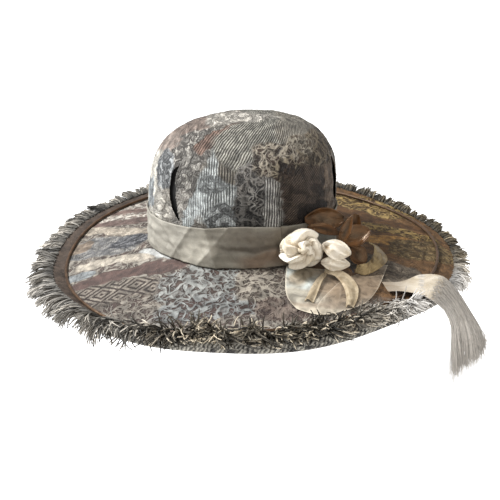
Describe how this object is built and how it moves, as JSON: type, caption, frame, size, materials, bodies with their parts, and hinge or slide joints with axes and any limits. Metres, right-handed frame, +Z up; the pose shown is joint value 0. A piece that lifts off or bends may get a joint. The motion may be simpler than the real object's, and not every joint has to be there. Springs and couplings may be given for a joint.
{
  "type": "sun hat",
  "caption": "Wide-brimmed cloth sun hat with a patchwork crown, linen band, satin flower trim, fringed drooping brim and a frayed silk tail hanging over one side",
  "frame": {"origin": "Centre of the head opening, in the plane of the crown's foot, where the hat sits on a head", "axes": "+Z up out of the crown; +X toward the wearer's side that carries the silk tail; the trims are at +X, -Y"},
  "size_m": [0.471, 0.4109, 0.2405],
  "materials": {
    "crown": "patchwork jacquard, matte",
    "crown_lining": "black cotton, matte",
    "brim": "striped jacquard, matte",
    "brim_piping": "satin cord",
    "rim_binding": "woven braid",
    "brim_fringe": "ravelled yarn",
    "hat_band": "linen ribbon",
    "organza": "sheer organza, built opaque",
    "cream_satin": "satin",
    "brown_satin": "satin",
    "stem": "wrapped wire",
    "beige_satin": "satin",
    "raw_silk": "raw silk, frayed"
  },
  "bodies": {
    "root": {"crown": "crown", "crown_lining": "crown_lining", "brim": "brim", "brim_piping": "brim_piping", "rim_binding": "rim_binding", "brim_fringe": "brim_fringe", "hat_band": "hat_band", "organza_square": "organza", "organza_fold": "organza", "ribbon_end_left": "cream_satin", "ribbon_end_right": "cream_satin", "cream_rosette": "cream_satin", "cream_loop_upper": "cream_satin", "cream_loop_lower": "cream_satin", "brown_petal_top": "brown_satin", "brown_petal_lip": "brown_satin", "brown_petal_upright": "brown_satin", "brown_petal_right": "brown_satin", "brown_petal_back": "brown_satin", "brown_petal_low": "brown_satin", "flower_stem": "stem", "beige_ribbon_loop": "beige_satin", "silk_tail": "raw_silk"}
  },
  "joints": []
}
